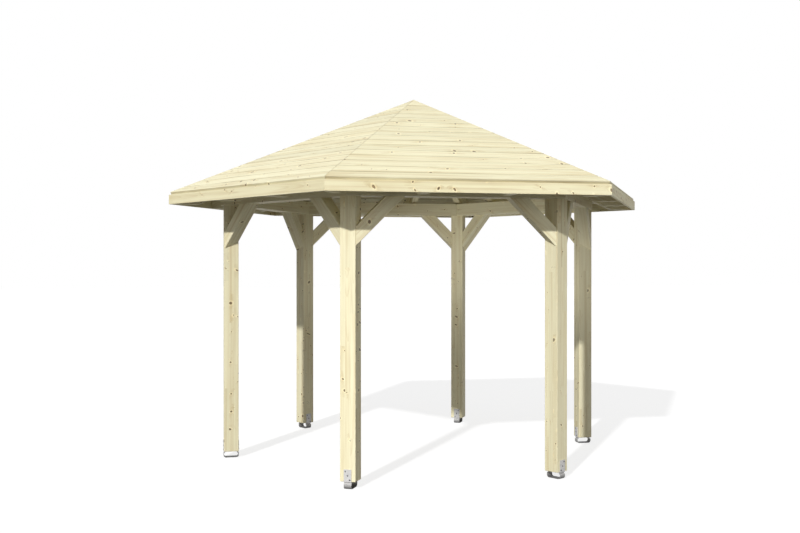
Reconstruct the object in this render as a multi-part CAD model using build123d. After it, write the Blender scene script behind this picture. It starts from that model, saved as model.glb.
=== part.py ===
from build123d import *
from math import cos, radians, sin, tan
import os

# A six-sided open garden gazebo in planed spruce, in millimetres.
# Six posts stand on steel anchors and turn one face outwards. A ring of beams lies on
# the post tops and is stiffened by two raking braces to each post. Six hip rafters
# and twelve shorter rafters sit over the ring and carry six boarded roof sides, with
# a fascia round the eaves. The origin is on the ground under the top of the roof.
# The front wall faces -Y.

# Plan
post_names = ["front_left", "front_right", "right", "back_right", "back_left", "left"]
wall_names = ["front", "right_front", "right_back", "back", "left_back", "left_front"]
front_wall_faces = -90.0
post_radius = 1583.0

# Posts and their anchors
post_section = 120.0
post_arris = 3.0
post_lift = 54.0
strap_thickness = 4.0
strap_width = 58.0
strap_reach = 90.0
strap_bend = 20.0
crimp_depth = 10.0
crimp_height = 14.0
crimp_bend = 3.0
ground_hole = 13.0

# Ring of beams and its braces
ring_setback = 4.0
beam_underside = 2120.0
beam_width = 140.0
beam_height = 120.0
brace_depth = 100.0
brace_thickness = 100.0
brace_reach = 389.0
brace_angle = 45.0

# Roof
roof_pitch = 25.0
board_thickness = 24.0
eaves_reach = 356.1
rafter_width = 60.0
rafter_depth = 150.0
rafter_notch = 39.6
jack_offset = 320.0
king_across = 120.0
king_drop = 40.0
king_arris = 10.0
fascia_thickness = 20.0
fascia_height = 80.0
fascia_cover = 1.0
fascia_gap = 0.4

# Sizes that follow. The rafters sit on the ring, so the top of the roof follows from it.
side_count = len(wall_names)
wall_turn = 360 / side_count
half_turn = wall_turn / 2
front_left_post_faces = front_wall_faces - half_turn
post_half = post_section / 2
half_bay = post_radius * sin(radians(half_turn))
post_face = post_radius + post_half
post_corner = post_face * cos(radians(half_turn)) + post_half * sin(radians(half_turn))
beam_outer = post_corner - ring_setback
beam_inner = beam_outer - beam_width
beam_top = beam_underside + beam_height
pitch = radians(roof_pitch)
slope = tan(pitch)
hip_slope = slope * cos(radians(half_turn))
hip_stretch = (1 + hip_slope**2) ** 0.5
jack_apex = beam_top - rafter_notch + slope * beam_outer
deck_apex = jack_apex + rafter_depth / cos(pitch)
apex_height = deck_apex + board_thickness / cos(pitch)
board_edge_apothem = beam_outer + eaves_reach
deck_edge_apothem = board_edge_apothem - board_thickness * sin(pitch)
deck_edge_height = deck_apex - slope * deck_edge_apothem
hip_dip = slope * sin(radians(half_turn)) * rafter_width / 2
hip_apex = deck_apex - hip_dip - rafter_depth * hip_stretch
fascia_inner = deck_edge_apothem - fascia_cover
fascia_outer = fascia_inner + fascia_thickness
fascia_top = deck_edge_height - fascia_gap
fascia_underside = fascia_top - fascia_height
beyond = 2 * post_radius


def corner_of(apothem):
    """Distance from the centre to the corner of a hexagon with this apothem."""
    return apothem / cos(radians(half_turn))


def hexagon(apothem, face_angle=half_turn):
    """Six-sided outline in plan, with one side that faces this angle."""
    return RegularPolygon(corner_of(apothem), side_count, rotation=face_angle - half_turn)


def sector(apothem, setback=0.0):
    """Plan triangle of one side, out to its straight edge, held this far off both hip lines."""
    start = setback / sin(radians(half_turn))
    reach = (apothem - start) * tan(radians(half_turn))
    return make_face(Polyline((start, 0), (apothem, -reach), (apothem, reach), close=True))


def upright(outline, width, middle=0.0):
    """Solid with this outline in the X-Z plane and this width along Y."""
    face = make_face(Plane.XZ * Polyline(*outline, close=True))
    return Pos(0, middle, 0) * extrude(face, width / 2, both=True)


def under_deck():
    """The space under the six sloping undersides of the roof boards, down to the ground."""
    return loft([Plane.XY * hexagon(deck_apex / slope), Vertex(0, 0, deck_apex)])


def make_post():
    """Square post with one face outwards, its long edges and its foot eased."""
    length = beam_underside - post_lift
    post = Pos(post_radius, 0, post_lift + length / 2) * Box(post_section, post_section, length)
    long_edges = post.edges().filter_by(Axis.Z)
    foot_edges = post.faces().sort_by(Axis.Z)[0].edges()
    return chamfer(long_edges + foot_edges, post_arris)


def make_anchor():
    """One bent strap: up both faces of the post, crimped in to carry its foot, flat below."""
    leg = post_half + strap_thickness / 2
    shelf = post_lift - strap_thickness / 2
    crimp_foot = shelf - crimp_height
    base = strap_thickness / 2
    outer_side = [
        (leg, post_lift + strap_reach),
        (leg, shelf),
        (leg - crimp_depth, shelf),
        (leg - crimp_depth, crimp_foot),
        (leg, crimp_foot),
        (leg, base),
    ]
    inner_side = [(-x, z) for x, z in reversed(outer_side)]
    bends = [crimp_bend] * 4 + [strap_bend] * 2 + [crimp_bend] * 4
    path = FilletPolyline(*outer_side, *inner_side, radius=bends)
    outline = trace(path, strap_thickness)
    strap = extrude(Plane.XZ * outline, strap_width / 2, both=True)
    strap -= Pos(0, 0, base) * Cylinder(ground_hole / 2, 2 * strap_thickness)
    return Pos(post_radius, 0, 0) * strap


def make_beam():
    """Ring beam with mitred ends that meet over the middle of the posts."""
    outline = sector(beam_outer) - sector(beam_inner)
    return Pos(0, 0, beam_underside) * extrude(outline, beam_height)


def make_brace_pair():
    """Two raking braces under one beam, cut level at the top and to the post's side face."""
    toe = half_bay - brace_reach
    level_cut = brace_depth / sin(radians(brace_angle))
    run = half_bay
    fall = run * tan(radians(brace_angle))
    outline = Polyline(
        (toe, beam_underside),
        (toe + level_cut, beam_underside),
        (toe + level_cut + run, beam_underside - fall),
        (toe + run, beam_underside - fall),
        close=True,
    )
    mid_plane = Plane.YZ.offset(beam_outer - brace_thickness / 2)
    bar = extrude(make_face(mid_plane * outline), brace_thickness / 2, both=True)
    past_side_face = Rot(0, 0, half_turn) * Pos(post_radius, beyond / 2 - post_half, beam_underside)
    brace = bar - past_side_face * Box(beyond, beyond, beyond)
    return [brace, mirror(brace, Plane.XZ)]


def make_hip_rafter(ring, deck, crown):
    """Rafter along one hip: bevelled on top, notched over the ring, pointed at the eaves."""
    tail = corner_of(fascia_outer)
    level_from = (hip_apex - fascia_underside) / hip_slope
    outline = [
        (0, deck_apex),
        (tail, deck_apex),
        (tail, fascia_underside),
        (level_from, fascia_underside),
        (0, hip_apex),
    ]
    inside_fascia = extrude(hexagon(fascia_inner), apex_height)
    return (upright(outline, rafter_width) & deck & inside_fascia) - ring - crown


def make_jack_rafters(ring):
    """Two rafters of one roof side, square to the eaves, with cheek cuts at the hips."""
    level_from = (jack_apex - fascia_underside) / slope
    outline = [
        (0, deck_apex),
        (fascia_inner, deck_apex - slope * fascia_inner),
        (fascia_inner, fascia_underside),
        (level_from, fascia_underside),
        (0, jack_apex),
    ]
    between_hips = extrude(sector(fascia_inner, rafter_width / 2), apex_height)
    jacks = []
    for side in (-1, 1):
        jack = upright(outline, rafter_width, side * jack_offset)
        jacks.append((jack & between_hips) - ring)
    return jacks


def make_crown_block(deck):
    """Six-sided block that the hip rafters meet, pointed under the top of the roof."""
    foot = hip_apex - hip_slope * king_across / 2 - king_drop
    block = Pos(0, 0, foot) * extrude(hexagon(king_across / 2, 0), deck_apex - foot)
    block = chamfer(block.faces().sort_by(Axis.Z)[0].edges(), king_arris)
    return block & deck


def make_roof_side():
    """One boarded roof side, mitred along both hips, its lower edge square to the slope."""
    edge_height = apex_height - slope * board_edge_apothem
    outline = [
        (0, apex_height),
        (board_edge_apothem, edge_height),
        (deck_edge_apothem, deck_edge_height),
        (0, deck_apex),
    ]
    side = extrude(sector(board_edge_apothem), apex_height)
    return upright(outline, beyond) & side


def make_fascia():
    """Eaves board of one side, mitred at both ends, close under the lower edge of the boards."""
    outline = sector(fascia_outer) - sector(fascia_inner)
    return Pos(0, 0, fascia_underside) * extrude(outline, fascia_height)


def save(node, solids, angle=0.0):
    """Write the solids of one node, turned to face this way."""
    turned = [Rot(0, 0, angle) * solid for solid in solids]
    shape = turned[0] if len(turned) == 1 else Compound(children=turned)
    export_step(shape, f"parts/{node}.step")


os.makedirs("parts", exist_ok=True)
ring_outline = hexagon(beam_outer) - hexagon(beam_inner)
ring = Pos(0, 0, beam_underside) * extrude(ring_outline, beam_height)
deck = under_deck()
crown = make_crown_block(deck)
save("crown_block", [crown])

post = make_post()
anchor = make_anchor()
hip_rafter = make_hip_rafter(ring, deck, crown)
for place, name in enumerate(post_names):
    angle = front_left_post_faces + place * wall_turn
    save(f"post_{name}", [post], angle)
    save(f"anchor_{name}", [anchor], angle)
    save(f"hip_rafter_{name}", [hip_rafter], angle)

beam = make_beam()
braces = make_brace_pair()
jack_rafters = make_jack_rafters(ring)
roof_side = make_roof_side()
fascia = make_fascia()
for place, name in enumerate(wall_names):
    angle = front_wall_faces + place * wall_turn
    save(f"beam_{name}", [beam], angle)
    save(f"braces_{name}", braces, angle)
    save(f"jack_rafters_{name}", jack_rafters, angle)
    save(f"roof_{name}", [roof_side], angle)
    save(f"fascia_{name}", [fascia], angle)
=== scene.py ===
"""A six-sided open garden gazebo in planed spruce, dressed piece by piece.

The sidebar panel lists one operator for each kind of piece and one for the stage. A timber
or a board is a stack of closed outlines, worked out as one array, and carries its own
grain: where each point lies in the tree that it was sawn from. All lengths are in metres.
"""

import math

import bpy
import numpy as np
from bpy.props import FloatProperty, FloatVectorProperty
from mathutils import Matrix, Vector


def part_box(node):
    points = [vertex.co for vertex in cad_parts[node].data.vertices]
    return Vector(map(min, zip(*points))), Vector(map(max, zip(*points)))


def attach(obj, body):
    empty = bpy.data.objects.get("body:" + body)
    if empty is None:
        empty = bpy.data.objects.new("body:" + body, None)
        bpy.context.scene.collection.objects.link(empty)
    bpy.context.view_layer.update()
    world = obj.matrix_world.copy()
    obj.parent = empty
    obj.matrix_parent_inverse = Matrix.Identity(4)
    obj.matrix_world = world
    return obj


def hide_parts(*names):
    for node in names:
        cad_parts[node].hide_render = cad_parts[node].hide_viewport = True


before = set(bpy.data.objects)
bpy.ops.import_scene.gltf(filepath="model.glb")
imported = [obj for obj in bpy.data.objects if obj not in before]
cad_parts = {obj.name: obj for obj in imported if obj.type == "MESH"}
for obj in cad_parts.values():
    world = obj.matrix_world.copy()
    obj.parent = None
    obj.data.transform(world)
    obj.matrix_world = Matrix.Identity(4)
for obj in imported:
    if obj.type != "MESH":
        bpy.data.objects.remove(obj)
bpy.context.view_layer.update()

bl_info = {
    "name": "Garden gazebo",
    "version": (1, 0, 0),
    "blender": (4, 5, 0),
    "location": "3D View > Sidebar > Gazebo",
    "description": "Makes the timbers, boards, anchors and screws of a six-sided gazebo",
    "category": "Object",
}

# The posts and the walls go round the middle, and each faces outwards at its own angle
POST_NAMES = ("front_left", "front_right", "right", "back_right", "back_left", "left")
WALL_NAMES = ("front", "right_front", "right_back", "back", "left_back", "left_front")
TURN = 2 * math.pi / len(WALL_NAMES)
HALF_TURN = TURN / 2
FRONT_FACES = -math.pi / 2
POSTS = [(name, FRONT_FACES - HALF_TURN + place * TURN) for place, name in enumerate(POST_NAMES)]
WALLS = [(name, FRONT_FACES + place * TURN) for place, name in enumerate(WALL_NAMES)]

# Sizes of the frame that the boxes of its pieces don't show
ROOF_PITCH = math.radians(25)
PITCH_SIN = math.sin(ROOF_PITCH)
PITCH_COS = math.cos(ROOF_PITCH)
SLOPE = math.tan(ROOF_PITCH)
HIP_SLOPE = SLOPE * math.cos(HALF_TURN)
HIP_STRETCH = math.hypot(1, HIP_SLOPE)
RAFTER_DEPTH = 0.150
BRACE_DEPTH = 0.100


def corners(node):
    """Lowest and highest corner of one piece of the frame, as two arrays."""
    low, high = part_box(node)
    return np.array(low), np.array(high)


# Sizes and places that those boxes give
post_low, post_high = corners("post_right")
POST_SECTION = post_high[0] - post_low[0]
POST_RADIUS = (post_low[0] + post_high[0]) / 2
POST_FOOT = post_low[2]
RING_FOOT = post_high[2]
_, anchor_high = corners("anchor_right")
ANCHOR_REACH = anchor_high[0] - POST_RADIUS
STRAP_MIDDLE = (POST_FOOT + anchor_high[2]) / 2
beam_low, beam_high = corners("beam_back")
RING_INNER, RING_OUTER, RING_TOP = beam_low[1], beam_high[1], beam_high[2]
brace_low, brace_high = corners("braces_back")
BRACE_INNER, BRACE_OUTER = brace_low[1], brace_high[1]
BRACE_TOE = brace_high[0] - (RING_FOOT - brace_low[2])
fascia_low, fascia_high = corners("fascia_back")
FASCIA_INNER, FASCIA_OUTER = fascia_low[1], fascia_high[1]
FASCIA_FOOT, FASCIA_TOP = fascia_low[2], fascia_high[2]
_, roof_high = corners("roof_back")
BOARD_EDGE, APEX = roof_high[1], roof_high[2]
hip_low, hip_high = corners("hip_rafter_right")
RAFTER_WIDTH = hip_high[1] - hip_low[1]
_, jack_high = corners("jack_rafters_back")
JACK_OFFSET = jack_high[0] - RAFTER_WIDTH / 2
crown_low, crown_high = corners("crown_block")
CROWN_HALF, CROWN_FOOT, DECK_APEX = crown_high[0], crown_low[2], crown_high[2]
BOARD_THICKNESS = (APEX - DECK_APEX) * PITCH_COS

# Fine joinery
POINT_HALF, POINT_TAPER = 0.0002, 0.1
FASCIA_GAP = 0.0003
FASCIA_EASING = 0.6
CROWN_ARRIS = 0.010
CROWN_TIP = 0.03
TONGUE_HALF = 0.0024
TONGUE_LENGTH = 0.006
TONGUE_SLACK = 0.0006
BOARD_GAP = 0.0008
RIDGE_GAP = 0.0014
HIGHEST_JOINT = 0.03
SCREW_LOBES = 6

# How pieces of a kind differ: random draws, how light each post is (partly its own tone, partly
# painted light), how its screws slant
SEEDS = {"posts": 11, "beams": 23, "braces": 37, "rafters": 41, "roof": 53, "fascia": 67}
POST_TONE_AND_PAINTED_LIGHT = dict(zip(POST_NAMES, (0.06, 0.00, -0.04, 0.06, -0.03, -0.06)))
SCREW_SLANTS = dict(zip(POST_NAMES, (-1, 1, 1, -1, 1, -1)))
WARMTH_SPREAD = 2

# Where a timber lay in its tree
TRUNK_LENGTH = 40
PITH_ASIDE = 0.03
PITH_LEAN = 0.012
HEART_RANGE = (0.7, 1.4)
PITH_RADIUS = 0.0005

# Strips of a glued timber: length, stagger of their ends, how far apart they grew
STRIP_LENGTH = 0.9
ROW_STAGGER, COLUMN_STAGGER = 0.37, 0.61
STRIP_ALONG, STRIP_ASIDE = 7.0, 0.12
GLUE_LINE = 0.0004

# Knots. The drum is in cells of the pattern, and where each band round a knot starts and
# ends is in girths from its axis.
BRANCH_CLIMB = 0.35
DRUM, DRUM_WALL = 0.75, 0.34
KNOT_LEAN = 1.2
YOUNG_GIRTH, GROWN_RADIUS = 0.4, 0.05
KNOT_END = (0.75, 1.05)
RIM_START, RIM_END = (0.55, 0.95), (0.95, 1.30)
HALO_START, HALO_END = (1.0, 1.3), (1.4, 3.0)
SWIRL_END = (0.4, 3.2)
SWIRL_LENGTH = 0.045

# Growth rings: how far they drift along the trunk and bend round a knot
RING_DRIFT, RING_BEND = 0.014, 0.006

# Colours, dirt and painted shade that no property sets, and the zinc crystals to the metre
BLUSH = (0.860, 0.700, 0.450)
KNOT_PALE = (0.310, 0.200, 0.090)
# Dark colour in the joints of the roof boards: dirt and painted shade
JOINT_DIRT_AND_SHADE = (0.190, 0.135, 0.065)
# Painted shade on the eaves edge of the lowest roof board, and along the mitred board ends at the
# hips
EAVES_PAINTED_SHADE, MITRE_PAINTED_SHADE = 0.14, 0.5
# Painted shade on the anchors: their colour darkens below the post foot
FOOT_PAINTED_SHADE = 0.22
ZINC_CRYSTALS = 95.0

# Stage
FLOOR_HALF = 60.0
FLOOR_SHADE = 0.32
FLOOR_GLOW = 0.78
INNER_LAMP_RADIUS = 0.4
SENSOR_WIDTH = 36


class GazeboSizes(bpy.types.PropertyGroup):
    """Sizes of the joinery and the wood that the frame leaves open."""

    arris: FloatProperty(
        name="Arris", description="How far the long edges of the timbers are eased",
        default=0.003, min=0.0005, max=0.01, unit="LENGTH")
    mitre_gap: FloatProperty(
        name="Mitre gap", description="Half the open joint between two mitred ends",
        default=0.0007, min=0.0001, max=0.003, unit="LENGTH")
    board_cover: FloatProperty(
        name="Board cover", description="Width that each roof board covers",
        default=0.1215, min=0.06, max=0.2, unit="LENGTH")
    eaves_cover: FloatProperty(
        name="Eaves board cover", description="Width that the lowest roof board covers",
        default=0.1036, min=0.06, max=0.2, unit="LENGTH")
    groove_above: FloatProperty(
        name="Groove above", description="Bevel along the upper edges of a roof board",
        default=0.005, min=0.0005, max=0.006, unit="LENGTH")
    groove_below: FloatProperty(
        name="Groove below", description="Bevel along the edges that show under the roof",
        default=0.004, min=0.0005, max=0.006, unit="LENGTH")
    eaves_round: FloatProperty(
        name="Eaves rounding", description="Radius of the roof's upper edge at the eaves",
        default=0.0065, min=0.0005, max=0.01, unit="LENGTH")
    hip_arris: FloatProperty(
        name="Hip arris", description="How far the mitred ends of the roof boards are eased",
        default=0.0012, min=0.0003, max=0.002, unit="LENGTH")
    screw_head: FloatProperty(
        name="Screw head", description="Radius of a screw head in an anchor",
        default=0.0056, min=0.003, max=0.01, unit="LENGTH")
    screw_step: FloatVectorProperty(
        name="Screw step", description="Step across and up from one screw to the next",
        default=(0.017, 0.031), size=2, unit="LENGTH")
    lamella: FloatProperty(
        name="Lamella", description="Width of the strips that a post is glued up from",
        default=0.04, min=0.02, max=0.12, unit="LENGTH")
    ring_width: FloatProperty(
        name="Growth ring", description="Width of one year's growth in the tree",
        default=0.0031, min=0.001, max=0.008, unit="LENGTH")


class GazeboColours(bpy.types.PropertyGroup):
    """Colours of the finishes."""

    timber: FloatVectorProperty(
        name="Timber", description="Pale wood of the posts, beams, braces and rafters",
        default=(0.830, 0.775, 0.535), subtype="COLOR", min=0, max=1)
    roof: FloatVectorProperty(
        name="Roof boards", description="Pale wood of the roof boards",
        default=(0.840, 0.800, 0.565), subtype="COLOR", min=0, max=1)
    fascia: FloatVectorProperty(
        name="Fascia boards", description="Pale wood of the fascia boards",
        default=(0.840, 0.785, 0.530), subtype="COLOR", min=0, max=1)
    late_wood: FloatVectorProperty(
        name="Late wood", description="Darker wood at the end of each year's growth",
        default=(0.560, 0.430, 0.205), subtype="COLOR", min=0, max=1)
    knot: FloatVectorProperty(
        name="Knots", description="Dark wood of the knots",
        default=(0.100, 0.062, 0.028), subtype="COLOR", min=0, max=1)
    steel: FloatVectorProperty(
        name="Galvanised steel", description="Zinc coat of the anchors",
        default=(0.580, 0.570, 0.560), subtype="COLOR", min=0, max=1)
    screw: FloatVectorProperty(
        name="Screws", description="Dull zinc of the screw heads",
        default=(0.100, 0.100, 0.105), subtype="COLOR", min=0, max=1)


class GazeboStage(bpy.types.PropertyGroup):
    """Where the camera stands and how the stage is lit."""

    camera_place: FloatVectorProperty(
        name="Camera place", description="Where the camera stands",
        default=(-1.9966, -8.5420, 1.626), subtype="TRANSLATION", unit="LENGTH")
    camera_yaw: FloatProperty(
        name="Camera yaw", description="How far the camera looks to the right of straight on",
        default=math.radians(12.372), subtype="ANGLE")
    camera_pitch: FloatProperty(
        name="Camera pitch", description="How far the camera looks up",
        default=math.radians(-0.137), subtype="ANGLE")
    lens: FloatProperty(
        name="Lens", description="Focal length in millimetres on a sensor 36 mm wide",
        default=44.96, min=10, max=200)
    key_azimuth: FloatProperty(
        name="Key light azimuth", description="Where the key light stands, from +X towards +Y",
        default=math.radians(-123.4), subtype="ANGLE")
    key_height: FloatProperty(
        name="Key light height", description="How high the key light stands",
        default=math.radians(30), subtype="ANGLE")
    key_spread: FloatProperty(
        name="Key light spread", description="How soft the edges of the shadows are",
        default=math.radians(1.6), subtype="ANGLE")
    key_strength: FloatProperty(
        name="Key light strength", description="Strength of the key light", default=3.0, min=0)
    fill_azimuth: FloatProperty(
        name="Fill light azimuth", description="Where the fill light stands, from +X towards +Y",
        default=math.radians(-80), subtype="ANGLE")
    fill_height: FloatProperty(
        name="Fill light height", description="How high the middle of the fill light stands",
        default=math.radians(8), subtype="ANGLE")
    fill_spread: FloatProperty(
        name="Fill light spread", description="How wide the fill light is",
        default=math.radians(40), subtype="ANGLE")
    fill_strength: FloatProperty(
        name="Fill light strength", description="Strength of the fill light", default=0.42, min=0)
    sky_strength: FloatProperty(
        name="Sky strength", description="Strength of the light from all round",
        default=0.33, min=0)
    floor_bounce: FloatProperty(
        name="Floor bounce", description="How much of its light the floor gives back",
        default=0.20, min=0, max=1)
    inner_place: FloatVectorProperty(
        name="Inner light place", description="Where the soft lamp inside the gazebo stands",
        default=(-0.1, -0.8, 0.9), subtype="TRANSLATION", unit="LENGTH")
    inner_aim: FloatVectorProperty(
        name="Inner light aim", description="The place under the roof that the inner lamp points at",
        default=(1.13, 1.02, 1.76), subtype="TRANSLATION", unit="LENGTH")
    inner_cone: FloatProperty(
        name="Inner light cone", description="How wide the beam of the inner lamp is",
        default=math.radians(130), subtype="ANGLE")
    inner_flatness: FloatProperty(
        name="Inner light flatness", description="Height of the beam as a share of its width",
        default=0.24, min=0.05, max=1)
    inner_power: FloatProperty(
        name="Inner light power", description="Power of the inner lamp in watts",
        default=92, min=0)


class Value:
    """One number of a material, which adds its Math nodes when it is used in a sum."""

    def __init__(self, socket):
        self.socket = socket

    def math(self, operation, *others, swapped=False):
        """This value and the others through one Math node, the other way round if swapped."""
        node = self.socket.id_data.nodes.new("ShaderNodeMath")
        node.operation = operation
        terms = (*others, self) if swapped else (self, *others)
        for slot, term in zip(node.inputs, terms):
            feed(slot, term)
        return Value(node.outputs[0])

    def __add__(self, other):
        return self.math("ADD", other)

    def __sub__(self, other):
        return self.math("SUBTRACT", other)

    def __rsub__(self, other):
        return self.math("SUBTRACT", other, swapped=True)

    def __mul__(self, other):
        return self.math("MULTIPLY", other)

    def __truediv__(self, other):
        return self.math("DIVIDE", other)

    def __rtruediv__(self, other):
        return self.math("DIVIDE", other, swapped=True)

    def __pow__(self, other):
        return self.math("POWER", other)

    def __gt__(self, other):
        return self.math("GREATER_THAN", other)

    def __lt__(self, other):
        return self.math("LESS_THAN", other)

    def __abs__(self):
        return self.math("ABSOLUTE")

    __radd__ = __add__
    __rmul__ = __mul__


def feed(slot, item):
    """Link a value or a socket into a node's input, or set a plain number or colour there."""
    if isinstance(item, Value):
        item = item.socket
    if isinstance(item, bpy.types.NodeSocket):
        slot.id_data.links.new(item, slot)
    else:
        slot.default_value = item


class Finish:
    """The nodes that make the look of a material or of the world, its owner."""

    def __init__(self, owner, output="ShaderNodeOutputMaterial"):
        owner.use_nodes = True
        self.owner = owner
        self.nodes = owner.node_tree.nodes
        self.nodes.clear()
        self.output = self.nodes.new(output)

    def node(self, kind, settings=None, inputs=None):
        """A node of this type: its settings are set first, then its sockets."""
        made = self.nodes.new(kind)
        for name, setting in (settings or {}).items():
            setattr(made, name, setting)
        for name, item in (inputs or {}).items():
            feed(made.inputs[name], item)
        return made

    def split(self, vector):
        """The three numbers of a vector or a colour."""
        parts = self.node("ShaderNodeSeparateXYZ", inputs={"Vector": vector})
        return [Value(part) for part in parts.outputs]

    def join(self, x, y, z):
        """A vector of three numbers."""
        return self.node("ShaderNodeCombineXYZ", inputs={"X": x, "Y": y, "Z": z}).outputs[0]

    def attribute(self, name):
        """The three numbers of a vector that the mesh carries at each point."""
        made = self.node("ShaderNodeAttribute", {"attribute_name": name})
        return self.split(made.outputs["Vector"])

    def noise(self, vector, detail):
        """Smooth noise at this place, about 0 and from -0.5 to 0.5."""
        sockets = {"Vector": vector, "Scale": 1.0, "Detail": detail, "Roughness": 0.5}
        return Value(self.node("ShaderNodeTexNoise", inputs=sockets).outputs["Fac"]) - 0.5

    def drawn_noise(self, place, along_rate, across_rate, detail=2.0):
        """Noise with so many changes to the metre along the first axis, and across it."""
        along, across, depth = place
        vector = self.join(along * along_rate, across * across_rate, depth * across_rate)
        return self.noise(vector, detail)

    def rise(self, value, low, high):
        """A soft step from 0 at the low value to 1 at the high one."""
        sockets = {"Value": value, "From Min": low, "From Max": high}
        made = self.node("ShaderNodeMapRange", {"interpolation_type": "SMOOTHSTEP"}, sockets)
        return Value(made.outputs["Result"])

    def mix(self, share, first, second):
        """The first colour, with this share of the second. Sockets 6 and 7 are its colours."""
        sockets = {"Factor": share, 6: first, 7: second}
        return self.node("ShaderNodeMix", {"data_type": "RGBA"}, sockets).outputs[2]

    def brighten(self, colour, gain):
        """A colour times a number."""
        sockets = {0: colour, "Scale": gain}
        return self.node("ShaderNodeVectorMath", {"operation": "SCALE"}, sockets).outputs[0]

    def bump(self, height, strength, distance):
        """The surface's own direction, tilted by a height in the given distance."""
        sockets = {"Strength": strength, "Distance": distance, "Height": height}
        return self.node("ShaderNodeBump", inputs=sockets).outputs["Normal"]

    def surface(self, **sockets):
        """Finish the material with one layered surface; an underscore stands for a space."""
        named = {name.replace("_", " "): item for name, item in sockets.items()}
        made = self.node("ShaderNodeBsdfPrincipled", inputs=named)
        feed(self.output.inputs["Surface"], made.outputs[0])
        return self.owner

    def lit_and_seen(self, lit, seen):
        """Finish with one shader for the light that surfaces get and one for the eye."""
        path = self.node("ShaderNodeLightPath").outputs
        rays = Value(path["Is Camera Ray"]) + Value(path["Is Glossy Ray"])
        eye = (rays + Value(path["Is Transmission Ray"])) > 0.5
        sockets = {"Fac": eye, 1: lit.outputs[0], 2: seen.outputs[0]}
        made = self.node("ShaderNodeMixShader", inputs=sockets)
        feed(self.output.inputs["Surface"], made.outputs[0])


def whole(colour):
    """A colour with its fourth number."""
    return (*colour, 1.0)


def grey(shade):
    """A grey with its fourth number."""
    return whole([shade] * 3)


def glued_up(wood, grain, lamella):
    """Grain of a timber glued up from strips, each from elsewhere in a tree.

    The attribute glue holds the distances across, through and along the timber. White noise
    draws where a strip comes from, by its row, its column and its place in them. Returns the
    new grain, how much lighter each strip is than the next, and a mask of the glue lines.
    """
    along, across, depth = grain
    side, face, length = wood.attribute("glue")
    row = (side / lamella + 0.5).math("FLOOR")
    column = (face / lamella + 0.5).math("FLOOR")
    stagger = row * ROW_STAGGER + column * COLUMN_STAGGER
    place = (length / STRIP_LENGTH + stagger).math("FLOOR")
    sockets = {"Vector": wood.join(row, column, place)}
    lot = wood.node("ShaderNodeTexWhiteNoise", {"noise_dimensions": "3D"}, sockets)
    draw, turn, start = wood.split(lot.outputs["Color"])
    moved = (
        along + start * STRIP_ALONG,
        across + (draw - 0.5) * STRIP_ASIDE,
        depth + (turn - 0.5) * STRIP_ASIDE,
    )
    beside = abs((side / lamella + 0.5).math("FRACT") - 0.5)
    return moved, (draw + turn - 1.0) * 0.5, wood.rise(beside, 0.5 - GLUE_LINE / lamella, 0.5)


def knots(wood, grain, radius, share, sizes, spacing):
    """Knots: cones that run out from the pith and climb, each the dead foot of a branch.

    A drum is laid round the pith in a cell pattern, so many metres to a cell along the trunk,
    and the nearest cell's point says where the branch is. share is how many cells have one,
    and sizes are the smallest and the largest girth. Returns masks of the knot, its dark rim,
    the pale halo beside it and the rings that swirl round it, and how faded it is.
    """
    along, across, depth = grain
    least, most = sizes
    climb = along - radius * BRANCH_CLIMB
    place = wood.join(climb / spacing, across / radius * DRUM, depth / radius * DRUM)
    cell = wood.node("ShaderNodeTexVoronoi", inputs={"Vector": place, "Scale": 1.0})
    knot_along, knot_across, knot_depth = wood.split(cell.outputs["Position"])
    pick, size, faded = wood.split(cell.outputs["Color"])
    reach = (knot_across * knot_across + knot_depth * knot_depth).math("SQRT")
    off_along = climb - knot_along * spacing
    off_across = (across * knot_depth - depth * knot_across) / reach
    off_across = off_across + off_along * (faded - 0.5) * KNOT_LEAN
    facing = (across * knot_across + depth * knot_depth) > 0.0
    present = facing * (pick < share) * (abs(reach - DRUM) < DRUM_WALL)
    grown = wood.rise(radius, 0.0, GROWN_RADIUS) * (1.0 - YOUNG_GIRTH) + YOUNG_GIRTH
    girth = (size * size * (most - least) + least) * grown
    wobble = wood.drawn_noise(grain, 90.0, 90.0) * 0.5 + 1.0
    off = (off_along * off_along + off_across * off_across).math("SQRT") / girth * wobble
    trail = (off_along * off_along * SWIRL_LENGTH + off_across * off_across).math("SQRT") / girth
    knot = present * (1.0 - wood.rise(off, *KNOT_END))
    rim = present * wood.rise(off, *RIM_START) * (1.0 - wood.rise(off, *RIM_END))
    halo = present * wood.rise(off, *HALO_START) * (1.0 - wood.rise(off, *HALO_END))
    swirl = present * (1.0 - wood.rise(trail, *SWIRL_END))
    return knot, rim, halo, swirl, faded


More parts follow.
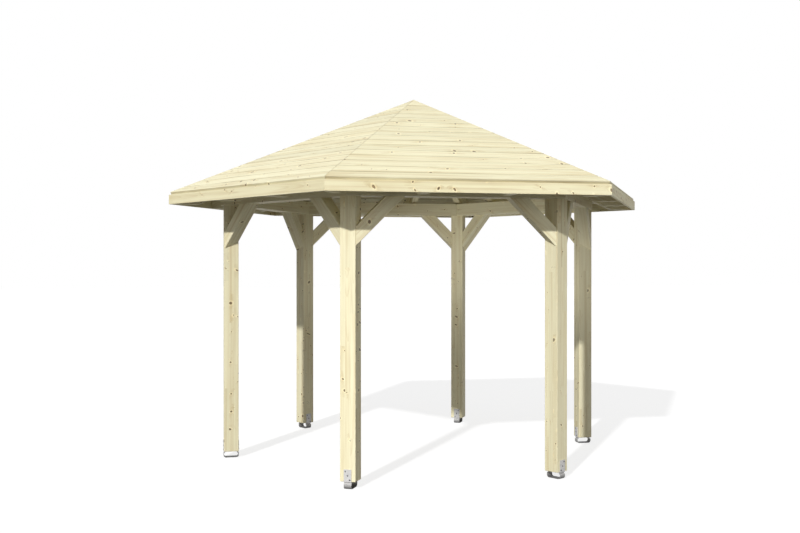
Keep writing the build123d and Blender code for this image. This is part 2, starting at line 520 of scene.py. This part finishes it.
def spruce(name, pale, knot_share, knot_sizes, knot_spacing=0.15, lamella=0.0):
    """Planed spruce, worked out from where each point lies in the tree.

    The attribute grain holds the distance along the trunk and two distances across it from
    the pith. The attribute tone holds how much lighter and how much warmer the timber is, and
    how far a point lies down in a joint. The lightness is partly painted light and shade on
    the posts and beams, and the joint mark brings painted shade and dirt into the joints of
    the roof boards, onto their eaves edge and along their mitres. Rings are shells round the
    pith: the years grown are the distance from it over a ring's width, and late wood is the
    end of each year. A timber with a lamella is glued up from strips of that width.
    """
    sizes = bpy.context.scene.gazebo_sizes
    colours = bpy.context.scene.gazebo_colours
    wood = Finish(bpy.data.materials.new(name))
    grain = wood.attribute("grain")
    shade, warmth, joint = wood.attribute("tone")
    patch, glue_line = 0.0, 0.0
    if lamella:
        grain, patch, glue_line = glued_up(wood, grain, lamella)
    along, across, depth = grain
    radius = (across * across + depth * depth).math("SQRT") + PITH_RADIUS
    knot, rim, halo, swirl, faded = knots(
        wood, grain, radius, knot_share, knot_sizes, knot_spacing)

    drift = wood.drawn_noise(grain, 1.1, 8.0)
    years = (radius + drift * RING_DRIFT + swirl * RING_BEND) / sizes.ring_width
    late = years.math("FRACT") ** 3.0
    season = wood.noise(wood.join(along * 0.25, years * 0.23, 0.0), detail=3.0)
    streak = wood.drawn_noise(grain, 0.7, 42.0, detail=4.0)
    fibre = wood.drawn_noise(grain, 16.0, 900.0)
    cloud = wood.drawn_noise(grain, 2.3, 12.0)

    ageing = late * 0.28 + season * 1.10 + streak * 1.40 + fibre * 0.30 + cloud * 0.60
    colour = wood.mix(ageing + swirl * 0.22 + 0.08, whole(pale), whole(colours.late_wood))
    colour = wood.mix(warmth * 0.35 + patch * 0.06 + 0.02, colour, whole(BLUSH))
    lift = shade + patch * 0.09 + fibre * 0.10 + halo * 0.22 - glue_line * 0.04
    colour = wood.brighten(colour, 1.0 + lift)
    dark = wood.mix(faded * faded, whole(colours.knot), whole(KNOT_PALE))
    colour = wood.mix(knot * 0.92, colour, dark)
    colour = wood.mix(rim * 0.75, colour, whole(colours.knot))
    # Painted shade and dirt in the joints of the roof boards, on their eaves edge and along their
    # mitres
    joint_dirt_and_shade = wood.rise(joint, 0.02, 0.25) * (0.62 + cloud * 1.6)
    colour = wood.mix(joint_dirt_and_shade, colour, whole(JOINT_DIRT_AND_SHADE))
    height = late * 0.35 + fibre * 0.5 + knot * 0.8 + halo * 0.8 + streak * 0.3 - glue_line * 0.5
    return wood.surface(
        Base_Color=colour,
        Roughness=0.62 + streak * 0.14 - knot * 0.14 - late * 0.06,
        Normal=wood.bump(height, strength=0.35, distance=0.0006),
        Specular_IOR_Level=0.3,
    )


def galvanised(name, colour, metal, rough):
    """Hot-dip zinc: a patchwork of crystals, each a little lighter or duller than the next.

    Below the foot of the post it is darkened with painted shade, down to a share of its colour.
    """
    zinc = Finish(bpy.data.materials.new(name))
    place = zinc.node("ShaderNodeTexCoord").outputs["Object"]
    x, y, z = zinc.split(place)
    cell = zinc.node("ShaderNodeTexVoronoi", inputs={"Vector": place, "Scale": ZINC_CRYSTALS})
    crystal, _, _ = zinc.split(cell.outputs["Color"])
    cloud = zinc.drawn_noise((x, y, z), 30.0, 30.0, detail=3.0)
    grit = zinc.drawn_noise((x, y, z), 900.0, 900.0)
    # Painted shade, darker from the post foot down to the ground
    painted_foot_shade = zinc.rise(z, 0.0, POST_FOOT) * (1.0 - FOOT_PAINTED_SHADE) + FOOT_PAINTED_SHADE
    return zinc.surface(
        Base_Color=zinc.brighten(tuple(colour), (0.95 + crystal * 0.14 + cloud * 0.22) * painted_foot_shade),
        Metallic=metal,
        Roughness=rough + crystal * 0.10 + cloud * 0.16,
        Normal=zinc.bump(grit + cloud, strength=0.12, distance=0.0004),
        Specular_IOR_Level=0.3,
    )


def timber_finish():
    """Spruce of the beams, braces and rafters, made the first time that it is asked for."""
    name = "sawn_spruce"
    pale = bpy.context.scene.gazebo_colours.timber
    made = bpy.data.materials.get(name)
    return made or spruce(name, pale, knot_share=0.62, knot_sizes=(0.004, 0.013))


def turned(points, angle):
    """Points turned about the upright axis, so that what faced +X faces this way."""
    cos, sin = math.cos(angle), math.sin(angle)
    turn = np.array([[cos, sin, 0], [-sin, cos, 0], [0, 0, 1]])
    return points @ turn


def skin(rings):
    """Points and faces of a closed solid from a stack of closed outlines.

    rings has the shape (outlines, points, 3). Neighbouring outlines are joined by faces with
    four corners, and the first and the last are closed by one face each. If the volume inside
    comes out below nothing, every face is turned over.
    """
    count, around = rings.shape[:2]
    here = np.arange(count * around).reshape(count, around)
    ahead = np.roll(here, -1, axis=1)
    sides = np.stack([here[:-1], ahead[:-1], ahead[1:], here[1:]], axis=-1).reshape(-1, 4)
    faces = sides.tolist() + [here[0, ::-1].tolist(), here[-1].tolist()]
    points = rings.reshape(-1, 3)
    a, b, c, d = (points - points.mean(axis=0))[sides].transpose(1, 0, 2)
    volume = np.einsum("ij,ij->", a, np.cross(b, c) + np.cross(c, d))
    if volume < 0:
        faces = [face[::-1] for face in faces]
    return points, faces


def eased_rectangle(width, depth, arris, facets=3):
    """Outline of a rectangle about the origin, each corner a quarter circle of this radius."""
    corner = np.arange(4)[:, None] * math.pi / 2
    angle = corner + np.linspace(0, math.pi / 2, facets + 1)[None, :]
    middle = corner + math.pi / 4
    u = np.sign(np.cos(middle)) * (width / 2 - arris) + arris * np.cos(angle)
    v = np.sign(np.sin(middle)) * (depth / 2 - arris) + arris * np.sin(angle)
    return np.stack([u, v], axis=-1).reshape(-1, 2)


def inset(outline, arris):
    """A closed outline moved inwards by this much: each point slides along its corner's bisector."""
    edge = np.roll(outline, -1, axis=0) - outline
    edge = edge / np.linalg.norm(edge, axis=1, keepdims=True)
    x, z = outline.T
    area = np.sum(x * np.roll(z, -1) - np.roll(x, -1) * z)
    inward = np.stack([-edge[:, 1], edge[:, 0]], axis=1) * np.sign(area)
    before = np.roll(inward, 1, axis=0)
    share = 1 + np.sum(inward * before, axis=1, keepdims=True)
    return outline + arris * (inward + before) / share


def mitred(section, gap, arris):
    """Board or beam with this section in the X-Z plane, mitred along the lines to both corners.

    A point at distance x from the middle of the plan runs from -y to y, where y is x times
    the tangent of half a side's turn, less the gap. The outline at each end is inset by the
    arris, and the whole outline stands that much further in. At the very top y stays above
    nothing, so that a board ends in a point.
    """
    rings = []
    for outline, back in ((inset(section, arris), 0), (section, arris)):
        x, z = outline.T
        tip = POINT_HALF - back * POINT_TAPER
        half = np.maximum(x * math.tan(HALF_TURN) - gap - back, tip)
        rings.append(np.stack([x, half, z], axis=-1))
    end, body = rings
    return np.stack([end * (1, -1, 1), body * (1, -1, 1), body, end])


def mitred_bar(inner, outer, foot, top, arris, gap):
    """Mitred bar with a rectangular section between these distances and these heights.

    Returns its outlines, and how far each point lies along it, outwards and up from its middle.
    """
    middle = np.array([(inner + outer) / 2, (foot + top) / 2])
    section = eased_rectangle(outer - inner, top - foot, arris)
    rings = mitred(section + middle, gap, gap)
    return rings, (rings[..., 1], rings[..., 0] - middle[0], rings[..., 2] - middle[1])


def sawn(outline_at, width, middle, arris):
    """Timber whose outline in the X-Z plane is a function of Y, its long edges eased.

    Five outlines lie across the width, and the outer two are inset by the arris.
    """
    steps = np.array([-width / 2, -width / 2 + arris, 0, width / 2 - arris, width / 2])
    outlines = np.stack([outline_at(middle + step) for step in steps])
    outlines[0] = inset(outlines[0], arris)
    outlines[-1] = inset(outlines[-1], arris)
    y = np.broadcast_to((middle + steps)[:, None], outlines.shape[:2])
    return np.stack([outlines[..., 0], y, outlines[..., 1]], axis=-1)


def grain_of(rng, along, across, depth, heart):
    """Where each point of a timber lies in its tree.

    The pith passes the timber near the distance heart and leans a little against its length:
    the distances across it grow with the distance from the timber's middle.
    """
    aside = rng.uniform(-PITH_ASIDE, PITH_ASIDE)
    below = heart * rng.uniform(*HEART_RANGE)
    lean_across, lean_depth = rng.uniform(-PITH_LEAN, PITH_LEAN, 2)
    along = along + rng.uniform(0, TRUNK_LENGTH)
    reach = along - along.mean()
    across = across + aside + reach * lean_across
    return np.stack([along, across, depth + below + reach * lean_depth], axis=-1)


def added(name, data):
    """A new object with this data, in the scene."""
    made = bpy.data.objects.new(name, data)
    bpy.context.scene.collection.objects.link(made)
    return made


def mesh_of(name, solids, material):
    """One mesh of several solids. The corners of each are numbered on from the one before."""
    faces, count = [], 0
    for points, sides in solids:
        faces += [[corner + count for corner in side] for side in sides]
        count += len(points)
    mesh = bpy.data.meshes.new(name)
    mesh.from_pydata(np.concatenate([points for points, _ in solids]).tolist(), [], faces)
    mesh.materials.append(material)
    return mesh


class Stock:
    """The solids of one piece, gathered with the grain, the tone and the glue lines of each."""

    def __init__(self, rng, spread=0.04):
        self.rng = rng
        self.spread = spread
        self.solids = []
        self.marks = {"grain": [], "tone": [], "glue": []}

    def add(self, rings, axes, angle, heart=0.05, shade=0.0, joint=0.0):
        """Add one timber, turned to face this way.

        axes are how far each of its points lies along, across and through it. shade is how
        much lighter than its fellows it is: for the posts and beams partly painted light and
        shade. joint is 1 down in its joints, where painted shade and dirt darken it.
        """
        points, faces = skin(rings)
        self.solids.append((turned(points, angle), faces))
        along, across, depth = (distance.ravel() for distance in axes)
        self.marks["grain"].append(grain_of(self.rng, along, across, depth, heart))
        tone = np.empty((len(points), 3))
        tone[:, :2] = self.rng.normal(0, self.spread, 2) * (1, WARMTH_SPREAD) + (shade, 0)
        tone[:, 2] = np.broadcast_to(joint, rings.shape[:2]).ravel()
        self.marks["tone"].append(tone)
        self.marks["glue"].append(np.stack([across, depth, along], axis=-1))

    def piece(self, node, material, ending="dressed"):
        """One object of all the solids, which stands for this piece of the frame."""
        name = f"{node}_{ending}"
        mesh = mesh_of(name, self.solids, material)
        for mark, values in self.marks.items():
            layer = mesh.attributes.new(mark, "FLOAT_VECTOR", "POINT")
            layer.data.foreach_set("vector", np.concatenate(values).astype(np.float32).ravel())
        mesh.validate()
        made = added(name, mesh)
        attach(made, "root")
        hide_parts(node)


def make_pieces(kind, places, timbers, rng, material, slot="planed_spruce", **marks):
    """One piece of this kind at each place, made of the same timbers.

    timbers holds the outlines of each and their axes, and marks are the same for all.
    """
    for name, angle in places:
        stock = Stock(rng)
        for rings, axes in timbers:
            stock.add(rings, axes, angle, **marks)
        stock.piece(f"{kind}_{name}", material)


def post_rings(arris):
    """Post that faces +X: an eased square, drawn in by the arris at its foot.

    Returns its outlines, and how far each point lies along, across and through it.
    """
    outline = eased_rectangle(POST_SECTION, POST_SECTION, arris)
    levels = np.array([POST_FOOT, POST_FOOT + arris, RING_FOOT])
    grow = np.array([1 - 2 * arris / POST_SECTION, 1, 1])
    flat = outline[None] * grow[:, None, None]
    height = np.broadcast_to(levels[:, None], flat.shape[:2])
    rings = np.stack([flat[..., 0] + POST_RADIUS, flat[..., 1], height], axis=-1)
    return rings, (height, flat[..., 1], flat[..., 0])


class GAZEBO_OT_posts(bpy.types.Operator):
    """Make the six glued-up posts with eased edges and feet"""

    bl_idname = "gazebo.posts"
    bl_label = "Posts"

    def execute(self, context):
        sizes = context.scene.gazebo_sizes
        material = spruce(
            "glued_spruce", context.scene.gazebo_colours.timber, knot_share=0.90,
            knot_sizes=(0.0025, 0.0125), knot_spacing=0.10, lamella=sizes.lamella)
        rng = np.random.default_rng(SEEDS["posts"])
        rings, axes = post_rings(sizes.arris)
        for name, angle in POSTS:
            stock = Stock(rng, spread=0.01)
            # Each post's lightness is partly its own tone and partly painted light, most on the back
            # right post
            stock.add(rings, axes, angle, heart=0.02, shade=POST_TONE_AND_PAINTED_LIGHT[name])
            stock.piece(f"post_{name}", material)
        return {"FINISHED"}


def screw_head(radius, around=24):
    """Pan head with a six-lobed recess, turned about +X: radius against height, ring by ring.

    The recess rings swell and shrink six times round as the cosine of six times the angle.
    """
    reach = np.array([0.70, 1.00, 1.00, 0.90, 0.66, 0.42, 0.38, 0.33]) * radius
    height = np.array([-0.001, -0.0002, 0.0008, 0.0020, 0.0027, 0.0028, 0.0016, 0.0015])
    swell = np.array([0, 0, 0, 0, 0, 0.16, 0.16, 0.16])
    angle = np.linspace(0, 2 * math.pi, around, endpoint=False)
    wave = 1 + swell[:, None] * np.cos(SCREW_LOBES * angle)
    y = reach[:, None] * wave * np.cos(angle)
    z = reach[:, None] * wave * np.sin(angle)
    return np.stack([np.broadcast_to(height[:, None], y.shape), y, z], axis=-1)


def screws_of(anchor_faces, head, slant, screw_step):
    """Screw heads in both legs of one anchor, three to a leg in a slanting row."""
    across, up = screw_step
    solids = []
    for side in (0, math.pi):
        for step in (-1, 0, 1):
            shift = step * slant * across * math.cos(side)
            points, faces = skin(head + (ANCHOR_REACH, shift, STRAP_MIDDLE + step * up))
            on_leg = turned(points, side) + (POST_RADIUS, 0, 0)
            solids.append((turned(on_leg, anchor_faces), faces))
    return solids


class GAZEBO_OT_anchors(bpy.types.Operator):
    """Finish the bent strap anchors and drive three screws into each of their legs"""

    bl_idname = "gazebo.anchors"
    bl_label = "Anchors and screws"

    def execute(self, context):
        sizes = context.scene.gazebo_sizes
        colours = context.scene.gazebo_colours
        zinc = galvanised("galvanised_strap", colours.steel, metal=0.12, rough=0.46)
        dull = galvanised("dull_screw", colours.screw, metal=0.6, rough=0.40)
        head = screw_head(sizes.screw_head)
        for name, angle in POSTS:
            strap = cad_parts[f"anchor_{name}"]
            strap.data.materials.clear()
            strap.data.materials.append(zinc)
            solids = screws_of(angle, head, SCREW_SLANTS[name], sizes.screw_step)
            screws = added(f"screws_{name}", mesh_of(f"screws_{name}", solids, dull))
            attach(screws, "root")
        return {"FINISHED"}


class GAZEBO_OT_beams(bpy.types.Operator):
    """Make the six ring beams, mitred over the posts"""

    bl_idname = "gazebo.beams"
    bl_label = "Ring beams"

    def execute(self, context):
        sizes = context.scene.gazebo_sizes
        rng = np.random.default_rng(SEEDS["beams"])
        beam = mitred_bar(
            RING_INNER, RING_OUTER, RING_FOOT, RING_TOP, sizes.arris, sizes.mitre_gap)
        # The beams are a little darker in colour: partly a darker timber, partly painted shade
        make_pieces("beam", WALLS, [beam], rng, timber_finish(), heart=0.04, shade=-0.05)
        return {"FINISHED"}


def brace_outline(x):
    """Outline of the right-hand brace in its wall's plane, at this distance from the middle.

    Its top is level under the beam, its two long edges rake at 45 degrees, and its foot is
    cut upright where the post's side face passes.
    """
    level = BRACE_DEPTH * math.sqrt(2)
    side = (POST_SECTION / 2) / math.cos(HALF_TURN)
    foot = x * math.tan(HALF_TURN) - side
    return np.array([
        (BRACE_TOE, RING_FOOT),
        (BRACE_TOE + level, RING_FOOT),
        (foot, RING_FOOT - (foot - BRACE_TOE - level)),
        (foot, RING_FOOT - (foot - BRACE_TOE)),
    ])


class GAZEBO_OT_braces(bpy.types.Operator):
    """Make the two raking braces under each beam"""

    bl_idname = "gazebo.braces"
    bl_label = "Braces"

    def execute(self, context):
        arris = context.scene.gazebo_sizes.arris
        rng = np.random.default_rng(SEEDS["braces"])
        middle = (BRACE_INNER + BRACE_OUTER) / 2
        flat = sawn(brace_outline, BRACE_OUTER - BRACE_INNER, middle, arris)
        rings = flat[..., [1, 0, 2]]
        run, fall = rings[..., 1] - BRACE_TOE, RING_FOOT - rings[..., 2]
        along, across = (run + fall) / math.sqrt(2), (run - fall) / math.sqrt(2)
        axes = along, across - BRACE_DEPTH / 2, rings[..., 0] - middle
        pair = [(rings * (1, hand, 1), axes) for hand in (1, -1)]
        make_pieces("braces", WALLS, pair, rng, timber_finish())
        return {"FINISHED"}


def rafter_outline(start, tail, notch, deck, under, slope):
    """Outline of a rafter: underside, notch over the ring, level tail, plumb ends and top.

    deck and under are the heights of its top and its underside over the middle of the roof,
    and both fall by the slope with the distance from there.
    """
    seat = (under - RING_TOP) / slope
    level = (under - FASCIA_FOOT) / slope
    return np.array([
        (start, under - slope * start),
        (seat, RING_TOP),
        (notch, RING_TOP),
        (notch, under - slope * notch),
        (level, FASCIA_FOOT),
        (tail, FASCIA_FOOT),
        (tail, deck - slope * tail),
        (start, deck - slope * start),
    ])


def jack_outline(y):
    """Outline of a jack rafter, whose upper end is cut to the side of the hip rafter."""
    under = DECK_APEX - RAFTER_DEPTH / PITCH_COS
    start = (RAFTER_WIDTH / 2) / math.sin(HALF_TURN) + abs(y) / math.tan(HALF_TURN)
    return rafter_outline(start, FASCIA_INNER, RING_OUTER, DECK_APEX, under, SLOPE)


def hip_outline(y):
    """Outline of a hip rafter, bevelled on top and pointed at its tail and over the ring."""
    aside = abs(y) * math.tan(HALF_TURN)
    dip = SLOPE * math.sin(HALF_TURN) * RAFTER_WIDTH / 2
    under = DECK_APEX - dip - RAFTER_DEPTH * HIP_STRETCH
    deck = DECK_APEX - SLOPE * math.sin(HALF_TURN) * abs(y)
    tail = FASCIA_INNER / math.cos(HALF_TURN) - aside
    notch = RING_OUTER / math.cos(HALF_TURN) - aside
    return rafter_outline(CROWN_HALF, tail, notch, deck, under, HIP_SLOPE)


def rafter_axes(rings, slope):
    """Distances along, across and up a rafter that falls by this slope."""
    stretch = math.hypot(1, slope)
    along = (rings[..., 0] - rings[..., 2] * slope) / stretch
    up = (rings[..., 0] * slope + rings[..., 2]) / stretch
    return along, rings[..., 1] - rings[..., 1].mean(), up - up.mean()


def crown_rings():
    """Crown block: outlines of twelve points, on a hexagon with a flat towards each hip.

    The foot is bevelled, and the top follows the underside of the six roof sides: it falls
    by the slope times the distance towards the nearest of them.
    """
    points = 2 * len(WALL_NAMES)
    angle = np.arange(points) * HALF_TURN
    corner = np.arange(points) % 2
    reach = CROWN_HALF / np.cos(corner * HALF_TURN)
    fall = SLOPE * reach * np.cos((1 - corner) * HALF_TURN)
    out = reach * np.array([1 - CROWN_ARRIS / CROWN_HALF, 1, 1, CROWN_TIP])[:, None]
    height = np.stack([
        np.full(points, CROWN_FOOT),
        np.full(points, CROWN_FOOT + CROWN_ARRIS),
        DECK_APEX - fall,
        DECK_APEX - fall * CROWN_TIP,
    ])
    return np.stack([out * np.cos(angle), out * np.sin(angle), height], axis=-1)


class GAZEBO_OT_rafters(bpy.types.Operator):
    """Make the six hip rafters, the twelve jack rafters and the crown block"""

    bl_idname = "gazebo.rafters"
    bl_label = "Rafters and crown block"

    def execute(self, context):
        arris = context.scene.gazebo_sizes.arris
        material = timber_finish()
        rng = np.random.default_rng(SEEDS["rafters"])
        hip = sawn(hip_outline, RAFTER_WIDTH, 0.0, arris)
        hips = [(hip, rafter_axes(hip, HIP_SLOPE))]
        make_pieces("hip_rafter", POSTS, hips, rng, material)
        sides = (-JACK_OFFSET, JACK_OFFSET)
        jacks = [sawn(jack_outline, RAFTER_WIDTH, side, arris) for side in sides]
        pair = [(jack, rafter_axes(jack, SLOPE)) for jack in jacks]
        make_pieces("jack_rafters", WALLS, pair, rng, material)
        stock = Stock(rng)
        crown = crown_rings()
        stock.add(crown, (crown[..., 2], crown[..., 0], crown[..., 1]), 0.0, heart=0.01)
        stock.piece("crown_block", material)
        return {"FINISHED"}


def board_section(upper, lower, sizes, lowest):
    """Section of one roof board between two distances down the slope, with its joints.

    Both faces have bevelled edges, a tongue stands up the slope and a groove takes the next
    board's tongue. The uppermost board ends in a plain edge. The lowest ends at the eaves in
    a square edge, which a quarter circle rounds at its top. Distances down the slope and
    above the underside become X and Z, and joint is 1 where a point lies down in a joint,
    where painted shade and dirt darken it. The eaves edge gets a share of that painted shade.
    """
    top, bevel, under = BOARD_THICKNESS, sizes.groove_above, sizes.groove_below
    low, high = top / 2 - TONGUE_HALF, top / 2 + TONGUE_HALF
    tip = upper - TONGUE_LENGTH
    head = [
        (upper + bevel, top, 0), (upper, top - bevel, 1), (upper, high, 1), (tip, high, 1),
        (tip, low, 1), (upper, low, 1), (upper, under, 1), (upper + under, 0, 0),
    ]
    if upper < 0:
        head = [(upper, top, 0), (upper, 0, 0)]
    if lowest:
        bend = sizes.eaves_round
        turn = np.linspace(0, math.pi / 2, 4)
        run = lower - bend + bend * np.cos(turn)
        rise = top - bend + bend * np.sin(turn)
        # Painted shade on the eaves edge, less of it round the quarter circle at its top
        corner = np.stack([run, rise, EAVES_PAINTED_SHADE * np.cos(turn)], axis=-1)
        foot = [(lower, 0, EAVES_PAINTED_SHADE), *corner.tolist()]
    else:
        deep = lower - TONGUE_LENGTH - TONGUE_SLACK
        low, high = low - TONGUE_SLACK, high + TONGUE_SLACK
        foot = [
            (lower - under, 0, 0), (lower, under, 1), (lower, low, 1), (deep, low, 1),
            (deep, high, 1), (lower, high, 1), (lower, top - bevel, 1), (lower - bevel, top, 0),
        ]
    run, rise, joint = np.array(head + foot).T
    run = np.maximum(run, (RIDGE_GAP - rise * PITCH_SIN) / PITCH_COS)
    x = run * PITCH_COS + rise * PITCH_SIN
    z = DECK_APEX - run * PITCH_SIN + rise * PITCH_COS
    return np.stack([x, z], axis=-1), joint


def board_axes(rings):
    """Distances along, down and through a roof board from its middle."""
    down = rings[..., 0] * PITCH_COS - rings[..., 2] * PITCH_SIN
    through = rings[..., 0] * PITCH_SIN + rings[..., 2] * PITCH_COS
    return rings[..., 1], down - down.mean(), through - through.mean()


class GAZEBO_OT_roof(bpy.types.Operator):
    """Lay the tongued and grooved boards of the six roof sides"""

    bl_idname = "gazebo.roof"
    bl_label = "Roof boards"

    def execute(self, context):
        sizes = context.scene.gazebo_sizes
        pale = context.scene.gazebo_colours.roof
        material = spruce("roof_spruce", pale, knot_share=0.44, knot_sizes=(0.005, 0.014))
        rng = np.random.default_rng(SEEDS["roof"])
        eaves = BOARD_EDGE / PITCH_COS - BOARD_THICKNESS * SLOPE
        first = eaves - sizes.eaves_cover
        joints = np.arange(first, HIGHEST_JOINT, -sizes.board_cover)[::-1]
        lowers = np.append(joints, eaves)
        uppers = np.append(-BOARD_THICKNESS, joints + BOARD_GAP)
        # Painted shade along the hip seams: the mitred ends count half down in a joint
        at_mitres = np.array([MITRE_PAINTED_SHADE, 0, 0, MITRE_PAINTED_SHADE])[:, None]
        for name, angle in WALLS:
            stock = Stock(rng, spread=0.035)
            for upper, lower in zip(uppers, lowers):
                section, joint = board_section(upper, lower, sizes, lower == eaves)
                rings = mitred(section, sizes.mitre_gap, sizes.hip_arris)
                joint = np.maximum(joint, at_mitres)
                stock.add(rings, board_axes(rings), angle, joint=joint)
            stock.piece(f"roof_{name}", material, ending="boards")
        return {"FINISHED"}


class GAZEBO_OT_fascia(bpy.types.Operator):
    """Make the six fascia boards, mitred at the corners"""

    bl_idname = "gazebo.fascia"
    bl_label = "Fascia boards"

    def execute(self, context):
        arris = context.scene.gazebo_sizes.arris * FASCIA_EASING
        pale = context.scene.gazebo_colours.fascia
        material = spruce("fascia_spruce", pale, knot_share=0.75, knot_sizes=(0.005, 0.013))
        rng = np.random.default_rng(SEEDS["fascia"])
        rings, (along, outwards, up) = mitred_bar(
            FASCIA_INNER, FASCIA_OUTER, FASCIA_FOOT, FASCIA_TOP, arris, FASCIA_GAP)
        fascia = (rings, (along, up, outwards))
        make_pieces("fascia", WALLS, [fascia], rng, material, slot="fascia_boards")
        return {"FINISHED"}


def make_floor(stage):
    """Plain pale floor: white where it is lit and light grey in the shadow of the gazebo."""
    finish = Finish(bpy.data.materials.new("pale_floor"))
    bounce = finish.node("ShaderNodeBsdfDiffuse", inputs={"Color": grey(stage.floor_bounce)})
    pale = finish.node("ShaderNodeBsdfDiffuse", inputs={"Color": grey(FLOOR_SHADE)})
    glow = finish.node("ShaderNodeEmission", inputs={"Strength": FLOOR_GLOW})
    both = finish.node("ShaderNodeAddShader", inputs={0: pale.outputs[0], 1: glow.outputs[0]})
    finish.lit_and_seen(bounce, both)
    square = np.array([(-1, -1, 0), (1, -1, 0), (1, 1, 0), (-1, 1, 0)]) * FLOOR_HALF
    floor = added("floor", mesh_of("floor", [(square, [(0, 1, 2, 3)])], finish.owner))


def make_world(stage):
    """White all round to the eye, and an even soft light to the surfaces."""
    finish = Finish(bpy.data.worlds.new("studio"), "ShaderNodeOutputWorld")
    sockets = {"Color": grey(1.0), "Strength": stage.sky_strength}
    sky = finish.node("ShaderNodeBackground", inputs=sockets)
    white = finish.node("ShaderNodeBackground", inputs={"Color": grey(1.0)})
    finish.lit_and_seen(sky, white)
    bpy.context.scene.world = finish.owner


def make_lamp(name, azimuth, height, spread, strength):
    """One distant lamp, as wide as its spread."""
    lamp = bpy.data.lights.new(name, "SUN")
    lamp.energy = strength
    lamp.angle = spread
    light = added(name, lamp)
    light.rotation_euler = (math.pi / 2 - height, 0, azimuth + math.pi / 2)


def make_inner_lamp(stage):
    """Soft lamp low inside the gazebo, like light thrown up by a sunlit floor."""
    lamp = bpy.data.lights.new("inner_light", "SPOT")
    lamp.energy = stage.inner_power
    lamp.spot_size = stage.inner_cone
    lamp.spot_blend = 1.0
    lamp.shadow_soft_size = INNER_LAMP_RADIUS
    light = added("inner_light", lamp)
    light.location = stage.inner_place
    towards = stage.inner_aim - stage.inner_place
    light.rotation_euler = towards.to_track_quat("-Z", "Y").to_euler()
    light.scale = (1.0, stage.inner_flatness, 1.0)
    light.visible_camera = False
    light.visible_glossy = False


def make_camera(stage):
    """Camera at a standing person's eye, to the left of the front wall."""
    data = bpy.data.cameras.new("camera")
    data.sensor_width = SENSOR_WIDTH
    data.lens = stage.lens
    camera = added("camera", data)
    camera.location = stage.camera_place
    camera.rotation_euler = (math.pi / 2 + stage.camera_pitch, 0, -stage.camera_yaw)
    bpy.context.scene.camera = camera


class GAZEBO_OT_stage(bpy.types.Operator):
    """Set up the floor, the light from all round, the lamps and the camera"""

    bl_idname = "gazebo.stage"
    bl_label = "Stage"

    def execute(self, context):
        stage = context.scene.gazebo_stage
        make_floor(stage)
        make_world(stage)
        for name in ("key", "fill"):
            parts = ("azimuth", "height", "spread", "strength")
            make_lamp(f"{name}_light", *[getattr(stage, f"{name}_{part}") for part in parts])
        make_inner_lamp(stage)
        make_camera(stage)
        context.scene.view_settings.view_transform = "Standard"
        return {"FINISHED"}


class GAZEBO_PT_panel(bpy.types.Panel):
    """Lists the operators and the sizes, colours and stage that they use"""

    bl_idname = "GAZEBO_PT_panel"
    bl_label = "Gazebo"
    bl_space_type = "VIEW_3D"
    bl_region_type = "UI"
    bl_category = "Gazebo"

    def draw(self, context):
        for maker in MAKERS:
            self.layout.operator(maker.bl_idname)
        for group in GROUPS:
            box = self.layout.box()
            settings = getattr(context.scene, group)
            for name in settings.__annotations__:
                box.prop(settings, name)


GROUPS = {
    "gazebo_sizes": GazeboSizes,
    "gazebo_colours": GazeboColours,
    "gazebo_stage": GazeboStage,
}
MAKERS = (
    GAZEBO_OT_posts,
    GAZEBO_OT_anchors,
    GAZEBO_OT_beams,
    GAZEBO_OT_braces,
    GAZEBO_OT_rafters,
    GAZEBO_OT_roof,
    GAZEBO_OT_fascia,
    GAZEBO_OT_stage,
)


def register():
    for kind in (*GROUPS.values(), *MAKERS, GAZEBO_PT_panel):
        bpy.utils.register_class(kind)
    for name, kind in GROUPS.items():
        setattr(bpy.types.Scene, name, bpy.props.PointerProperty(type=kind))


def unregister():
    for name in GROUPS:
        delattr(bpy.types.Scene, name)
    for kind in (GAZEBO_PT_panel, *MAKERS[::-1], *GROUPS.values()):
        bpy.utils.unregister_class(kind)


def main():
    """Make every piece and the stage."""
    register()
    for maker in MAKERS:
        family, action = maker.bl_idname.split(".")
        getattr(getattr(bpy.ops, family), action)()


if __name__ == "__main__":
    main()
